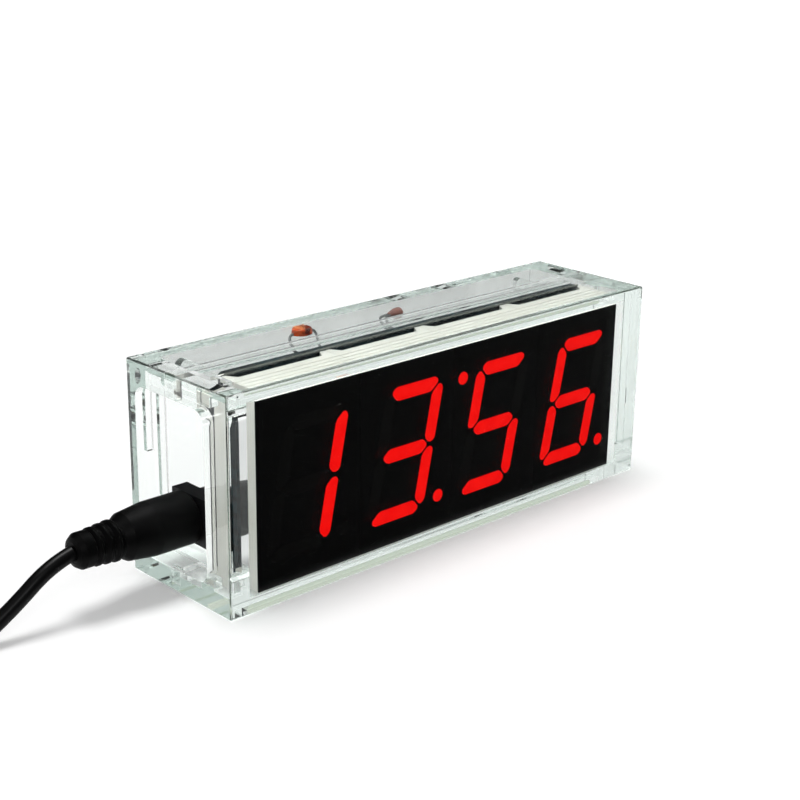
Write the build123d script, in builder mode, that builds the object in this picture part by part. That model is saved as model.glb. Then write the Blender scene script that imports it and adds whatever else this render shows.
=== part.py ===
"""Desk clock with four large seven-segment digits in a clear two-part case.

Millimetres. The origin is the middle of the case's underside, +X runs to the right seen from the
front, the digits face -Y and +Z is up. Every piece is written to parts/ as a STEP file of its own.
"""

import math
import os

from build123d import *

os.makedirs("parts", exist_ok=True)

# The case
case_width = 110.5
case_depth = 29.5
case_height = 41.5
wall = 2.5
end_wall = 5.2
front_depth = 17.6  # how much of the depth the front shell takes
edge_round = 0.4
lip_outside = 1.2  # thickness of the front shell's rim outside the joint
lip_reach = 2.0
lip_gap = 0.07
seam_gap = 0.05
seat_depth = 0.85  # the step in the top and bottom walls that the board stops against
stop_gap = 0.15  # between the row of modules and the four blocks that centre it
stop_reach = 1.5  # how far those blocks stand forward of the modules' backs
post_radius = 1.5
post_gap = 0.15
post_places = [(-45.0, 4.4), (45.0, 5.0), (-45.0, 36.4), (45.0, 36.4)]
rib_width = 1.4
rib_depth = 1.0
rib_places = [(-53.7, 24.0), (-50.7, 14.5), (49.3, 14.5)]  # each rib's left side and lower end

front_y = -case_depth / 2
back_y = case_depth / 2
seam_y = front_y + front_depth
inner_back_y = back_y - wall
middle_z = case_height / 2

# The cable port in the left wall, shared by both shells
port_height = 32.4
port_front_y = front_y + 6.7
port_round = 2.6

# The digit modules
digit_width = 24.0
digit_height = 36.0
digit_depth = 6.6
digit_gap = 0.1
face_thickness = 0.35
foot_height = 2.1
foot_size = 2.4
foot_slope = 1.3
well_depth = 3.6
potting_depth = 1.0
groove_width = 0.3
groove_depth = 0.12
groove_places = (1.4, 2.9, 4.4)
pin_size = 0.5
pin_pitch = 2.54
pin_rows = 30.48
pins_in_row = 5
pin_tail = 1.2
digit_count = 4

digit_front_y = front_y + wall + 0.1
digit_back_y = digit_front_y + digit_depth

# The figures on a module
glyph_width = 15.0
glyph_height = 26.6
glyph_offset = -0.55
stroke = 2.8
stroke_gap = 0.28
stroke_corner = 0.42
tip_cut = 1.1  # how much of each mitred tip is missing
tip_slope = 1.8  # how many times longer the cut is along the stroke
slant_deg = 11.3
dot_radius = 1.3
dot_x = 8.9
dot_z = -11.3
segment_clearance = 0.03

# The circuit board
board_width = 94.5
board_height = 38.0
board_thickness = 1.6
board_front_y = digit_back_y + foot_height
board_back_y = board_front_y + board_thickness
board_bottom_z = middle_z - board_height / 2
lead_reach = board_thickness + 0.4  # how far leads go in behind the board's rear face
lead_size = 0.5

# The power jack and its plug
jack_front_x = -50.1
jack_length = 14.0
jack_width = 9.4
jack_height = 11.0
jack_flange = 3.2
jack_bore_radius = 2.85
jack_bore_depth = 10.5
jack_pin_radius = 1.0
plug_y = board_back_y + 6.5
plug_z = 12.35
sleeve_radius = 2.75
sleeve_wall = 0.4
sleeve_length = 9.5
core_bore_radius = 1.05
plug_gap = 0.15
plug_radius = 5.1
plug_taper_x = -58.7
plug_shoulder_x = -64.0
relief_start_x = -65.5
relief_radius = 3.85
relief_rib_count = 3
rib_height = 0.35
collar_start_x = -71.0
collar_radius = 3.35
cable_exit_x = -74.4

# The power cable
cable_radius = 1.4
cable_start = (cable_exit_x, plug_y, plug_z)
coil_centre = (-123.6, 5.2)
coil_columns = 4
coil_layers = 2
coil_middle_radius = 14.4
cable_route = [
    cable_start,
    (-79.0, plug_y, 11.2),
    (-85.6, 4.6, 6.4),
    (-93.2, 5.0, cable_radius + 0.1),
    (-99.6, 5.0, cable_radius),
    (-104.5, 2.0, cable_radius),
    (-106.9, -2.9, cable_radius),
]
tail_route = [
    (-136.75, -7.95, 4.2),
    (-141.3, -3.8, 4.05),
    (-146.4, -0.35, 4.05),
]

# The plug on the cable's far end
usb_relief_length = 6.0
usb_relief_radius = 2.3
usb_body_length = 18.0
usb_body_width = 15.4
usb_body_height = 8.0
usb_shell_length = 12.0
usb_shell_width = 12.0
usb_shell_height = 4.5
usb_shell_wall = 0.3
usb_tongue_height = 1.9
usb_tongue_length = 11.0

# The buttons
button_size = 6.0
button_body_height = 3.4
button_cover = 0.4
button_radius = 1.7
button_hole_radius = 2.1
button_tip_y = back_y - 0.5
button_places = {"set": (26.0, 10.0), "adjust": (40.0, 10.0)}


def facing_front(y, x=0.0, z=0.0):
    """A plane whose normal points at the viewer, with X to the right and Z up."""
    return Plane(origin=(x, y, z), x_dir=(1, 0, 0), z_dir=(0, -1, 0))


def facing_back(y, x=0.0, z=0.0):
    """A plane that looks out of the back, with -X to its right and Z up."""
    return Plane(origin=(x, y, z), x_dir=(-1, 0, 0), z_dir=(0, 1, 0))


def facing_left(x, y=0.0, z=0.0):
    """A plane that looks out of the left end, with -Y to its right and Z up."""
    return Plane(origin=(x, y, z), x_dir=(0, -1, 0), z_dir=(-1, 0, 0))


def write(part, label):
    """Label a finished piece and write its STEP file."""
    part.label = label
    export_step(part, f"parts/{label}.step")


def block(low, high, mode=Mode.ADD):
    """A box between two corners, in the builder that is open."""
    size = [high[i] - low[i] for i in range(3)]
    with Locations(tuple(low)):
        Box(*size, align=(Align.MIN, Align.MIN, Align.MIN), mode=mode)


# The two shells


def cut_port():
    """Cut the cable port through the left wall of the shell that is open."""
    centre_y = (port_front_y + inner_back_y) / 2
    with BuildSketch(facing_left(-case_width / 2 - 1, centre_y, middle_z)) as port:
        RectangleRounded(inner_back_y - port_front_y, port_height, port_round)
    extrude(port.sketch, amount=-(end_wall + 1.4), mode=Mode.SUBTRACT)


def make_front_shell():
    """The front with the forward part of the walls, stepped inside where the board drops in."""
    half_width, half_cavity = case_width / 2, case_width / 2 - end_wall
    stop_x = digit_count * digit_width / 2 + stop_gap
    stop_z = (case_height - port_height) / 2 - 0.05
    with BuildPart() as shell:
        block((-half_width, front_y, 0), (half_width, seam_y, case_height))
        rim = shell.faces().sort_by(Axis.Y)[0].edges()
        fillet(shell.edges().filter_by(Axis.Y) + rim, edge_round)
        block(
            (-half_cavity, front_y + wall, wall),
            (half_cavity, seam_y + 1, case_height - wall),
            Mode.SUBTRACT,
        )
        block(
            (-half_cavity, board_front_y, wall - seat_depth),
            (half_cavity, seam_y + 1, case_height - wall + seat_depth),
            Mode.SUBTRACT,
        )
        block(
            (-half_width + lip_outside, seam_y - lip_reach, lip_outside),
            (half_width - lip_outside, seam_y + 1, case_height - lip_outside),
            Mode.SUBTRACT,
        )
        for side in (-1, 1):
            near_x, far_x = sorted((side * stop_x, side * (half_cavity + 0.5)))
            for low_z in (wall - 0.5, case_height - stop_z):
                block(
                    (near_x, digit_back_y - stop_reach, low_z),
                    (far_x, board_front_y, low_z + stop_z - wall + 0.5),
                )
        cut_port()
    return shell.part


def make_rear_shell():
    """The back with the rest of the walls, a tongue for the joint, posts, ribs and button holes."""
    half_width, half_cavity = case_width / 2, case_width / 2 - end_wall
    tongue_x = half_width - lip_outside - lip_gap
    tongue_z = lip_outside + lip_gap
    rim_y = seam_y + seam_gap
    with BuildPart() as shell:
        block((-half_width, rim_y, 0), (half_width, back_y, case_height))
        rim = shell.faces().sort_by(Axis.Y)[-1].edges()
        fillet(shell.edges().filter_by(Axis.Y) + rim, edge_round)
        block(
            (-tongue_x, rim_y - lip_reach + 0.1, tongue_z),
            (tongue_x, rim_y + 0.5, case_height - tongue_z),
        )
        block(
            (-half_cavity, rim_y - lip_reach - 1, wall),
            (half_cavity, inner_back_y, case_height - wall),
            Mode.SUBTRACT,
        )
        with BuildSketch(facing_front(inner_back_y + 0.2)):
            with Locations(*post_places):
                Circle(post_radius)
        extrude(amount=inner_back_y + 0.2 - board_back_y - post_gap)
        with BuildSketch(facing_front(back_y + 1)):
            with Locations(*button_places.values()):
                Circle(button_hole_radius)
        extrude(amount=wall + 2, mode=Mode.SUBTRACT)
        mouths = shell.faces().sort_by(Axis.Y)[-1].edges().filter_by(GeomType.CIRCLE)
        chamfer(mouths, 0.4)
        cut_port()
        for left_x, low_z in rib_places:
            block(
                (left_x, inner_back_y - rib_depth, low_z),
                (left_x + rib_width, inner_back_y + 0.2, case_height - wall + 0.2),
            )
    return shell.part


# The modules


def slanted(points):
    """Lean upright figure points to the right, as the figures stand."""
    lean = math.tan(math.radians(slant_deg))
    return [(x + z * lean, z) for x, z in points]


def segment_outlines():
    """The outline of each of the seven strokes about the figure's middle."""
    right, top = glyph_width / 2, glyph_height / 2
    left = -right
    gap = stroke_gap
    half = stroke / 2
    inner_right, inner_top = right - stroke, top - stroke
    centre_right = right - half
    upper = [
        (right - gap - tip_slope * tip_cut, top),
        (right - gap - tip_cut, top - tip_cut),
        (inner_right - gap, inner_top),
        (-inner_right + gap, inner_top),
        (left + gap + tip_cut, top - tip_cut),
        (left + gap + tip_slope * tip_cut, top),
    ]
    upper_right = [
        (right - tip_cut, top - gap - tip_cut),
        (right, top - gap - tip_slope * tip_cut),
        (right, gap + 0.5),
        (centre_right, gap),
        (inner_right, half + gap),
        (inner_right, inner_top - gap),
    ]
    upper_left = [(-x, z) for x, z in upper_right]
    return {
        "a": upper,
        "b": upper_right,
        "c": [(x, -z) for x, z in upper_right],
        "d": [(x, -z) for x, z in upper],
        "e": [(x, -z) for x, z in upper_left],
        "f": upper_left,
        "g": [
            (centre_right - gap, 0),
            (inner_right - gap, half),
            (-inner_right + gap, half),
            (-centre_right + gap, 0),
            (-inner_right + gap, -half),
            (inner_right - gap, -half),
        ],
    }


outlines = segment_outlines()

# The strokes that are lit, and which way up each module stands: the third is turned over, so that
# its dot and the second module's dot make the colon.
digits = [
    {"lit": "bc", "dot": False, "turned": False},
    {"lit": "abcdg", "dot": True, "turned": False},
    {"lit": "acdfg", "dot": True, "turned": True},
    {"lit": "acdefg", "dot": True, "turned": False},
]


def digit_centre(index):
    """How far a module's middle lies to the right of the case's middle."""
    return (index - (digit_count - 1) / 2) * digit_width


def dot_place(index):
    """Where a module's dot lies about the module's middle."""
    turn = -1 if digits[index]["turned"] else 1
    return glyph_offset + turn * dot_x, turn * dot_z


def draw_strokes(names, shrink=0.0, corner=stroke_corner):
    """Draw the named strokes in the sketch that is open, a little smaller if asked."""
    for name in names:
        with BuildSketch(mode=Mode.PRIVATE) as outline:
            Polygon(*slanted(outlines[name]), align=None)
            if corner:
                chamfer(outline.vertices(), corner)
            if shrink:
                offset(amount=-shrink)
        with Locations((glyph_offset, 0)):
            add(outline.sketch)


def draw_dot(index, shrink=0.0):
    """Draw the module's round dot in the sketch that is open."""
    with Locations(dot_place(index)):
        Circle(dot_radius - shrink)


def make_digit_body(index):
    """The module's housing: wells behind the strokes, feet and a potting recess behind."""
    centre_x = digit_centre(index)
    half_width = (digit_width - digit_gap) / 2
    half_height = digit_height / 2
    low_z, high_z = middle_z - half_height, middle_z + half_height
    body_front_y = digit_front_y + face_thickness
    with BuildPart() as body:
        block(
            (centre_x - half_width, body_front_y, low_z),
            (centre_x + half_width, digit_back_y, high_z),
        )
        for edge_z in (low_z, high_z - groove_depth):
            for place in groove_places:
                groove_y = digit_front_y + place
                block(
                    (centre_x - half_width - 1, groove_y, edge_z),
                    (centre_x + half_width + 1, groove_y + groove_width, edge_z + groove_depth),
                    Mode.SUBTRACT,
                )
        with BuildSketch(facing_back(digit_back_y, centre_x, middle_z)):
            Rectangle(digit_width - 3.0, digit_height - 3.0)
        extrude(amount=-potting_depth, mode=Mode.SUBTRACT)
        for foot_z in (low_z, high_z - foot_size):
            with BuildSketch(Plane.XY.offset(foot_z)):
                for side in (-1, 1):
                    outer, flat, inner = [
                        centre_x + side * (half_width - inset)
                        for inset in (0, foot_size - foot_slope, foot_size)
                    ]
                    foot_y = digit_back_y + foot_height
                    root_y = digit_back_y - 0.3
                    Polygon(
                        (outer, root_y),
                        (outer, foot_y),
                        (flat, foot_y),
                        (inner, digit_back_y),
                        (inner, root_y),
                        align=None,
                    )
            extrude(amount=foot_size)
        with BuildSketch(facing_front(body_front_y, centre_x, middle_z)):
            draw_strokes("abcdefg", corner=0)
            draw_dot(index)
        extrude(amount=-well_depth, mode=Mode.SUBTRACT)
    return body.part


def make_digit_face(index):
    """The thin black front of a module, open where the strokes and the dot shine through."""
    with BuildPart() as face:
        with BuildSketch(facing_front(digit_front_y, digit_centre(index), middle_z)):
            Rectangle(digit_width - digit_gap, digit_height)
            with BuildSketch(mode=Mode.PRIVATE) as windows:
                draw_strokes("abcdefg")
                draw_dot(index)
            add(windows.sketch, mode=Mode.SUBTRACT)
        extrude(amount=-face_thickness)
    return face.part


def make_strokes(index, lit):
    """The light blocks that fill the wells: those that are lit, or the rest."""
    names = [name for name in "abcdefg" if (name in digits[index]["lit"]) == lit]
    with BuildPart() as strokes:
        with BuildSketch(facing_front(digit_front_y, digit_centre(index), middle_z)):
            draw_strokes(names, segment_clearance)
            if digits[index]["dot"] == lit:
                draw_dot(index, segment_clearance)
        extrude(amount=-(face_thickness + well_depth - 0.05))
    return strokes.part


def make_display_pins():
    """Two rows of five pins on each module, through the board."""
    start_y = digit_back_y - potting_depth
    with BuildPart() as pins:
        with BuildSketch(facing_back(start_y, 0, middle_z)):
            for index in range(digit_count):
                with Locations((-digit_centre(index), 0)):
                    with GridLocations(pin_pitch, pin_rows, pins_in_row, 2):
                        Rectangle(pin_size, pin_size)
        extrude(amount=board_back_y + pin_tail - start_y)
    return pins.part


# The board and what stands on it


def make_circuit_board():
    """The one board, with slightly rounded corners."""
    with BuildPart() as board:
        with BuildSketch(facing_back(board_front_y, 0, middle_z)):
            RectangleRounded(board_width, board_height, 0.8)
        extrude(amount=board_thickness)
    return board.part


def make_dc_jack():
    """The jack lies on its side: a square flange at the mouth and a round-backed barrel."""
    centre_y = board_back_y + jack_height / 2
    body_width = jack_width - 0.8
    with BuildPart() as jack:
        with BuildSketch(facing_left(jack_front_x, centre_y, plug_z)) as flange:
            Rectangle(jack_height, jack_width)
            fillet(flange.vertices(), 0.4)
        extrude(amount=-jack_flange)
        with BuildSketch(facing_left(jack_front_x - 1 + jack_flange, 0, plug_z)):
            with Locations((-plug_y, 0)):
                Circle(body_width / 2)
            with Locations((-(board_back_y + plug_y) / 2, 0)):
                Rectangle(plug_y - board_back_y, body_width)
        extrude(amount=-(jack_length - jack_flange + 1))
        with BuildSketch(facing_left(jack_front_x, plug_y, plug_z)):
            Circle(jack_bore_radius)
        extrude(amount=-jack_bore_depth, mode=Mode.SUBTRACT)
        block(
            (jack_front_x + 2.4, board_back_y + 1.6, plug_z - 1.3),
            (jack_front_x + 9.4, plug_y - jack_bore_radius + 0.6, plug_z + 1.3),
            Mode.SUBTRACT,
        )
    return jack.part


def make_jack_contacts():
    """The centre pin, the leaf that bears on the sleeve, and the two tabs into the board."""
    back_x = jack_front_x + jack_bore_depth
    with BuildPart() as contacts:
        with BuildSketch(facing_left(back_x, plug_y, plug_z)):
            Circle(jack_pin_radius)
        extrude(amount=jack_bore_depth - 1.8)
        chamfer(contacts.edges().filter_by(GeomType.CIRCLE).sort_by(Axis.X)[0], 0.4)
        leaf_y = plug_y - sleeve_radius - 0.45
        block(
            (jack_front_x + 2.6, leaf_y, plug_z - 1.0),
            (jack_front_x + 9.2, leaf_y + 0.3, plug_z + 1.0),
        )
        for tab_x in (jack_front_x + 7.2, jack_front_x + jack_length):
            block(
                (tab_x, board_back_y - lead_reach, plug_z - 1.2),
                (tab_x + 0.3, board_back_y + (1.7 if tab_x < back_x else 3.0), plug_z + 1.2),
            )
    return contacts.part


def make_dip_body(x, z, count, height, lift):
    """A dual-in-line package: draughted sides and the half-round notch at one end."""
    length = count / 2 * pin_pitch
    with BuildPart() as package:
        with BuildSketch(facing_back(board_back_y + lift, x, z)):
            Rectangle(length, 6.3)
        extrude(amount=height)
        chamfer(package.edges().filter_by(Axis.X), 0.5)
        with BuildSketch(facing_back(board_back_y + lift + height, x, z)):
            with Locations((length / 2, 0)):
                Circle(0.9)
        extrude(amount=-0.6, mode=Mode.SUBTRACT)
    return package.part


def make_dip_legs(x, z, count, top, bottom):
    """Flat legs down both long sides, from the package's waist to the given depth."""
    with BuildPart() as legs:
        for side in (-1, 1):
            with BuildSketch(facing_back(board_back_y + bottom, x, z)):
                with Locations((0, side * 3.81)):
                    with GridLocations(pin_pitch, 1, count // 2, 1):
                        Rectangle(0.9, 0.3)
            extrude(amount=top - bottom)
            with BuildSketch(facing_back(board_back_y + top, x, z)):
                with Locations((0, side * 3.56)):
                    with GridLocations(pin_pitch, 1, count // 2, 1):
                        Rectangle(0.9, 0.8)
            extrude(amount=0.25)
    return legs.part


chip_place = (3.0, 14.5)
chip_pins = 20
socket_height = 3.6
chip_lift = socket_height + 0.7
rtc_place = (-9.0, 27.0)
rtc_pins = 8
rtc_lift = 0.7


def make_ic_socket():
    """The chip's socket: a frame with two bars of contact holes and a cross rib."""
    x, z = chip_place
    length = chip_pins / 2 * pin_pitch
    with BuildPart() as socket:
        with BuildSketch(facing_back(board_back_y, x, z)):
            Rectangle(length, 10.2)
            Rectangle(length - 3.0, 5.0, mode=Mode.SUBTRACT)
            Rectangle(2.0, 6.0)
        extrude(amount=socket_height)
        with BuildSketch(facing_back(board_back_y + socket_height, x, z)):
            with GridLocations(pin_pitch, 7.62, chip_pins // 2, 2):
                Rectangle(1.2, 0.7)
        extrude(amount=-2.8, mode=Mode.SUBTRACT)
    return socket.part


crystal_place = (-19.5, 11.0)
watch_place = (-9.0, 34.2)
electrolytic_place = (-29.0, 11.5)
ceramic_places = [(-22.8, 15.6), (-16.2, 15.6)]
resistor_places = [(x, 18.6 + 2.6 * row) for x in (-31.2, -20.2) for row in range(4)]
network_place = (32.0, 16.8)
transistor_places = [(-36.0 + 5.0 * step, 30.6) for step in range(4)]
buzzer_place = (25.5, 26.4)
holder_place = (6.5, 27.6)


def make_main_crystal():
    """A low metal can with rounded ends on a slightly wider flange."""
    with BuildPart() as can:
        with BuildSketch(facing_back(board_back_y, *crystal_place)):
            SlotOverall(11.1, 4.7)
        extrude(amount=0.5)
        with BuildSketch(facing_back(board_back_y + 0.5, *crystal_place)):
            SlotOverall(10.2, 3.8)
        extrude(amount=3.0)
        chamfer(can.faces().sort_by(Axis.Y)[-1].edges(), 0.4)
    return can.part


def make_watch_crystal():
    """A small metal cylinder lying on the board beside the clock chip."""
    x, z = watch_place
    with BuildPart() as can:
        with BuildSketch(facing_left(x + 3.0, board_back_y + 1.1, z)):
            Circle(1.0)
        extrude(amount=6.0)
        chamfer(can.faces().sort_by(Axis.X)[-1].edges(), 0.3)
    return can.part


def make_electrolytic():
    """An upright can with the rolled groove near its foot."""
    with BuildPart() as can:
        with BuildSketch(Plane.XY):
            with BuildLine():
                Polyline((0, 0.2), (2.4, 0.2), (2.5, 0.5), (2.5, 1.2), (2.3, 1.5), (2.5, 1.8))
                Polyline((2.5, 1.8), (2.5, 7.8), (2.2, 8.1), (0, 8.1), (0, 0.2))
            make_face()
        revolve(axis=Axis.Y)
    x, z = electrolytic_place
    return can.part.moved(Location((x, board_back_y, z)))


def make_ceramics():
    """Two small ceramic discs that stand on their leads."""
    with BuildPart() as discs:
        for x, z in ceramic_places:
            with BuildSketch(Plane.XY.offset(z - 0.9)):
                with Locations((x, board_back_y + 4.0)):
                    Circle(2.3)
            extrude(amount=1.8)
        chamfer(discs.edges().filter_by(GeomType.CIRCLE), 0.5)
    return discs.part


def make_resistors():
    """Axial resistors: round bodies lying just above the board."""
    radius, length = 1.15, 6.2
    with BuildPart() as bodies:
        for x, z in resistor_places:
            with BuildSketch(facing_left(x + length / 2, board_back_y + radius + 0.1, z)):
                Circle(radius)
            extrude(amount=length)
    return bodies.part


def make_resistor_network():
    """A flat single-in-line pack of resistors, coated with rounded shoulders."""
    with BuildPart() as pack:
        with BuildSketch(facing_back(board_back_y + 0.6, *network_place)):
            RectangleRounded(22.6, 2.4, 0.8)
        extrude(amount=5.0)
        chamfer(pack.faces().sort_by(Axis.Y)[-1].edges(), 0.5)
    return pack.part


def make_transistors():
    """Four small plastic transistors: a flat front and a round back."""
    with BuildPart() as bodies:
        for x, z in transistor_places:
            with BuildSketch(facing_back(board_back_y + 2.6, x, z)):
                Circle(2.3)
                with Locations((0, 2.6)):
                    Rectangle(6, 2.6, mode=Mode.SUBTRACT)
            extrude(amount=4.6)
    return bodies.part


def make_buzzer():
    """A round sounder with the hole in the middle of its top."""
    with BuildPart() as sounder:
        with BuildSketch(facing_back(board_back_y, *buzzer_place)):
            Circle(6.0)
        extrude(amount=9.0)
        chamfer(sounder.faces().sort_by(Axis.Y)[-1].edges(), 0.4)
        with BuildSketch(facing_back(board_back_y + 9.0, *buzzer_place)):
            Circle(1.2)
        extrude(amount=-2.0, mode=Mode.SUBTRACT)
    return sounder.part


def make_cell_holder():
    """The coin cell's holder: a low tray, open at its upper side, with two springy arms."""
    x, z = holder_place
    with BuildPart() as tray:
        with BuildSketch(facing_back(board_back_y, x, z)):
            Rectangle(15.6, 13.6)
        extrude(amount=4.2)
        chamfer(tray.edges().filter_by(Axis.Y), 1.2)
        with BuildSketch(facing_back(board_back_y + 1.2, x, z)):
            Circle(6.35)
            with Locations((0, 4.0)):
                Rectangle(9.0, 8.0)
        extrude(amount=4.0, mode=Mode.SUBTRACT)
    return tray.part


def make_coin_cell():
    """The flat cell, bevelled round its upper face."""
    with BuildPart() as cell:
        with BuildSketch(facing_back(board_back_y + 1.25, *holder_place)):
            Circle(6.2)
        extrude(amount=2.0)
        chamfer(cell.faces().sort_by(Axis.Y)[-1].edges(), 0.3)
    return cell.part


def make_component_leads():
    """The round wire leads of the small parts, from each body into the board."""
    start_y = board_back_y - lead_reach
    with BuildPart() as leads:
        straight = []
        for x, z in resistor_places:
            bend_y = board_back_y + 1.25
            for side in (-1, 1):
                end_x = x + side * 4.6
                with BuildLine() as path:
                    Polyline((x + side * 3.1, bend_y, z), (end_x, bend_y, z), (end_x, start_y, z))
                with BuildSketch(Plane(origin=path.wire() @ 0, z_dir=path.wire() % 0)):
                    Rectangle(lead_size, lead_size)
                sweep(transition=Transition.RIGHT)
        for x, z in ceramic_places:
            straight += [(x - 1.27, z, 2.2), (x + 1.27, z, 2.2)]
        for x, z in transistor_places:
            straight += [(x - 1.27, z, 2.6), (x, z, 2.6), (x + 1.27, z, 2.6)]
        straight += [(network_place[0] + pin_pitch * k, network_place[1], 0.6) for k in range(-4, 5)]
        straight += [(watch_place[0] - 4.0, watch_place[1] + side, 1.1) for side in (-0.6, 0.6)]
        for x, z, top in straight:
            with BuildSketch(facing_back(start_y, x, z)):
                Rectangle(lead_size, lead_size)
            extrude(amount=board_back_y + top - start_y)
        for side in (-0.6, 0.6):
            z = watch_place[1] + side
            block(
                (watch_place[0] - 4.25, board_back_y + 0.9, z - 0.25),
                (watch_place[0] - 3.0, board_back_y + 1.4, z + 0.25),
            )
    return leads.part


# The two sensors

light_place = (-17.9, 9.6, 37.2)
heat_place = (5.85, 8.75, 37.75)


def bent_wire(points):
    """One lead along the given points, mitred at its bends."""
    with BuildPart() as wire:
        with BuildLine() as path:
            Polyline(*points)
        with BuildSketch(Plane(origin=path.wire() @ 0, z_dir=path.wire() % 0)):
            Rectangle(lead_size, lead_size)
        sweep(transition=Transition.RIGHT)
    return wire.part


def make_light_sensor():
    """A light-dependent resistor: an oval disc with a shallow dome, lying face up."""
    x, y, z = light_place
    with BuildPart() as disc:
        with BuildSketch(Plane.XY.offset(z)):
            with Locations((x, y)):
                SlotOverall(5.1, 4.3)
        extrude(amount=1.5)
        chamfer(disc.faces().sort_by(Axis.Z)[-1].edges(), 0.3)
    return disc.part


def make_light_leads():
    """The light sensor's two leads, spread and bent back to the board."""
    x, y, z = light_place
    with BuildPart() as leads:
        for side in (-1, 1):
            points = [
                (x + side * 1.8, y, z),
                (x + side * 1.9, y, z - 1.3),
                (x + side * 2.5, y - 0.9, z - 2.4),
                (x + side * 2.5, board_back_y - lead_reach, z - 2.4),
            ]
            add(bent_wire(points))
    return leads.part


def make_heat_sensor():
    """A thermistor: a small dipped bead that thins down onto its two leads."""
    profile = [(-2.5, 0.0), (-2.5, 0.45), (-0.6, 1.1), (0.5, 1.1), (1.2, 0.5), (1.2, 0.0)]
    with BuildPart() as bead:
        with BuildSketch(Plane.XY):
            with BuildLine():
                Polyline(*profile, close=True)
            make_face()
        revolve(axis=Axis.X)
    return bead.part.moved(Location(heat_place))


def make_heat_leads():
    """The heat sensor's two leads, out along the bead's axis and bent back to the board."""
    x, y, z = heat_place
    with BuildPart() as leads:
        for side, reach in ((-1, 3.4), (1, 4.4)):
            points = [
                (x - 2.4, y + side * 0.32, z),
                (x - reach, y + side * 0.32, z),
                (x - reach, y + side * 0.32, z - 1.5),
                (x - reach, board_back_y - lead_reach, z - 1.5),
            ]
            add(bent_wire(points))
    return leads.part


# The two switches


def make_button_body(x, z):
    """The switch's square base, hollow for the plunger, with its four legs."""
    with BuildPart() as base:
        with BuildSketch(facing_back(board_back_y, x, z)):
            Rectangle(button_size, button_size)
        extrude(amount=button_body_height)
        chamfer(base.edges().filter_by(Axis.Y), 0.5)
        with BuildSketch(facing_back(board_back_y + button_body_height, x, z)):
            Circle(2.6)
        extrude(amount=-2.2, mode=Mode.SUBTRACT)
        with BuildSketch(facing_back(board_back_y + 1.0, x, z)):
            with GridLocations(button_size, 4.5, 2, 2):
                Rectangle(0.4, 0.8)
        extrude(amount=-(1.0 + lead_reach))
    return base.part


def make_button_cover(x, z):
    """The thin metal lid that keeps the plunger in."""
    with BuildPart() as lid:
        with BuildSketch(facing_back(board_back_y + button_body_height, x, z)):
            RectangleRounded(button_size, button_size, 0.5)
            Circle(button_radius + 0.08, mode=Mode.SUBTRACT)
        extrude(amount=button_cover)
    return lid.part


def make_button(x, z):
    """The plunger: a flange under the lid and a long stem that reaches the back of the case."""
    flange_top = board_back_y + button_body_height - 0.05
    with BuildPart() as plunger:
        with BuildSketch(facing_back(flange_top, x, z)):
            Circle(2.45)
        extrude(amount=-0.8)
        with BuildSketch(facing_back(flange_top, x, z)):
            Circle(button_radius)
        extrude(amount=button_tip_y - flange_top)
        chamfer(plunger.edges().filter_by(GeomType.CIRCLE).sort_by(Axis.Y)[-1], 0.3)
    return plunger.part


# The lead, from the plug to its far end


def make_plug_body():
    """The moulded plug: a smooth grip, a shoulder, ribs that flex and a collar at the cable."""
    front_x = jack_front_x - plug_gap
    pitch = (relief_start_x - collar_start_x) / relief_rib_count
    outline = [(front_x, 0), (front_x, plug_radius - 0.4), (front_x - 0.4, plug_radius)]
    outline += [(plug_taper_x, plug_radius), (plug_shoulder_x, plug_radius - 0.65)]
    for rib in range(relief_rib_count):
        start = relief_start_x - rib * pitch
        crest = relief_radius - 0.15 * rib
        outline += [
            (start, crest - rib_height),
            (start - 0.2 * pitch, crest - rib_height),
            (start - 0.45 * pitch, crest),
            (start - 0.75 * pitch, crest),
        ]
    outline += [(collar_start_x, relief_radius - rib_height - 0.45)]
    outline += [(collar_start_x - 0.3, collar_radius), (cable_exit_x + 1.2, collar_radius)]
    outline += [(cable_exit_x + 0.3, collar_radius - 0.6), (cable_exit_x, collar_radius - 1.4)]
    outline += [(cable_exit_x, 0)]
    with BuildPart() as body:
        with BuildSketch(Plane.XY):
            with BuildLine():
                Polyline(*outline, close=True)
            make_face()
        revolve(axis=Axis.X)
    return body.part.moved(Location((0, plug_y, plug_z)))


def make_plug_tube(outer, inner, length):
    """A tube on the plug's axis, from the moulding towards the jack."""
    with BuildPart() as tube:
        with BuildSketch(facing_left(jack_front_x - plug_gap, plug_y, plug_z)):
            Circle(outer)
            Circle(inner, mode=Mode.SUBTRACT)
        extrude(amount=-length)
    return tube.part


def corner_radii(route):
    """For each corner the largest arc that both its runs allow, with the runs' length to spare."""
    points = [Vector(*point) for point in route]
    radii = []
    for before, corner, after in zip(points, points[1:], points[2:]):
        turn = (corner - before).get_angle(after - corner)
        shorter = min((corner - before).length, (after - corner).length)
        radii.append(0.45 * shorter / math.tan(math.radians(turn) / 2))
    return radii


def make_cable(name, route):
    """A round cable along straight runs and tangent arcs, with its length and arcs printed."""
    radii = corner_radii(route)
    with BuildPart() as cable:
        with BuildLine() as path:
            FilletPolyline(*route, radius=radii)
        with BuildSketch(Plane(origin=path.wire() @ 0, z_dir=path.wire() % 0)):
            Circle(cable_radius)
        sweep()
    length = path.wire().length
    expected = math.pi * cable_radius**2 * length
    print(name, "length", round(length, 2), "radii", [round(radius, 1) for radius in radii])
    print(name, "volume", round(cable.part.volume, 2), "of", round(expected, 2))
    return cable.part


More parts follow.
